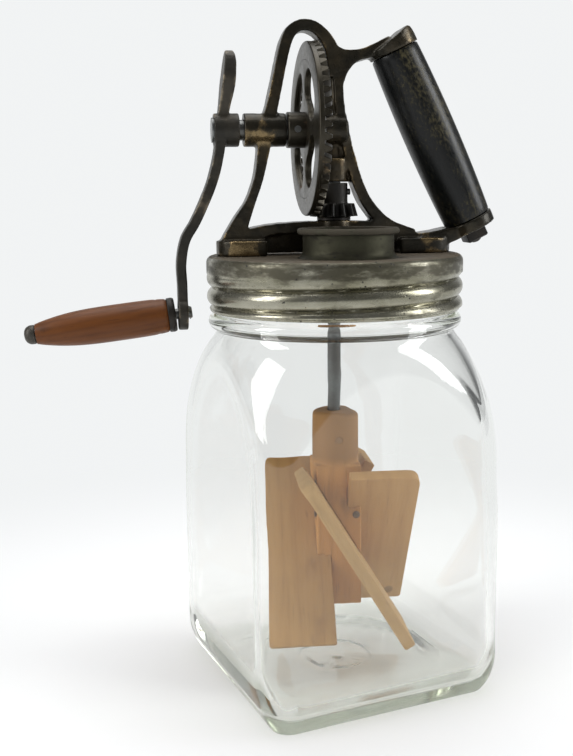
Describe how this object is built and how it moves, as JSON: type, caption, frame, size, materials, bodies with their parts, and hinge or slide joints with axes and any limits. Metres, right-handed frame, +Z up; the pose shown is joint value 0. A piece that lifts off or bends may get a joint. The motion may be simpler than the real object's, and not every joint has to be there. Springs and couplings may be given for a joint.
{
  "type": "glass jar butter churn",
  "caption": "Hand-cranked butter churn: square glass jar, screw cap with filler collar, cast iron frame with bevel gears, carrying handle and wooden paddle dasher.",
  "frame": {"origin": "middle of the jar's base, on the table", "axes": "+Z up along the dasher shaft; +X along the crank axle toward the carrying handle; -Y toward the filler collar"},
  "size_m": [0.2169, 0.1388, 0.3048],
  "materials": {
    "glass": "clear pressed glass, smooth",
    "rubber": "aged red rubber",
    "tinplate": "tarnished tinned sheet",
    "cast_iron": "dark worn casting",
    "gear_iron": "grey casting, bright on the teeth",
    "dark_iron": "blackened iron",
    "steel": "dull steel",
    "black_wood": "black enamel on turned wood, worn",
    "red_wood": "red-brown stained turned wood, worn",
    "pale_wood": "bare pale wood"
  },
  "bodies": {
    "jar": {"glass_jar": "glass"},
    "seal": {"gasket": "rubber"},
    "head": {"screw_cap": "tinplate", "filler_collar": "tinplate", "strainer_disc": "tinplate", "cast_frame": "cast_iron", "frame_rivets": "steel", "handle_grip": "black_wood", "handle_bolt": "steel", "handle_nut": "dark_iron", "thrust_washer": "steel"},
    "drive": {"axle": "steel", "drive_gear": "gear_iron", "gear_pin": "steel", "crank_arm": "cast_iron", "grip_spindle": "steel", "spindle_tip": "dark_iron"},
    "grip": {"crank_grip": "red_wood", "grip_ferrule": "dark_iron"},
    "dasher": {"pinion": "gear_iron", "pinion_pin": "steel", "dasher_shaft": "steel", "dasher_post": "pale_wood", "dasher_pin": "steel", "blade_right": "pale_wood", "blade_back": "pale_wood", "blade_left": "pale_wood", "blade_front": "pale_wood", "blade_nails": "steel"}
  },
  "joints": [
    {"name": "cap_lift", "type": "slide", "parent": "jar", "child": "seal", "axis": [0, 0, 1], "range_m": [0, 0.2]},
    {"name": "cap_turn", "type": "hinge", "parent": "seal", "child": "head", "pos_m": [0, 0, 0.20226], "axis": [0, 0, 1], "continuous": true},
    {"name": "crank_turn", "type": "hinge", "parent": "head", "child": "drive", "pos_m": [0, 0, 0.25766], "axis": [1, 0, 0], "continuous": true},
    {"name": "grip_spin", "type": "hinge", "parent": "drive", "child": "grip", "pos_m": [-0.07, 0, 0.17686], "axis": [-0.9936, 0, -0.1132], "continuous": true},
    {"name": "dasher_spin", "type": "hinge", "parent": "head", "child": "dasher", "pos_m": [0, 0, 0.1], "axis": [0, 0, 1], "continuous": true}
  ],
  "couplings": [
    {"joint": "dasher_spin", "follows": "crank_turn", "ratio": -4}
  ]
}
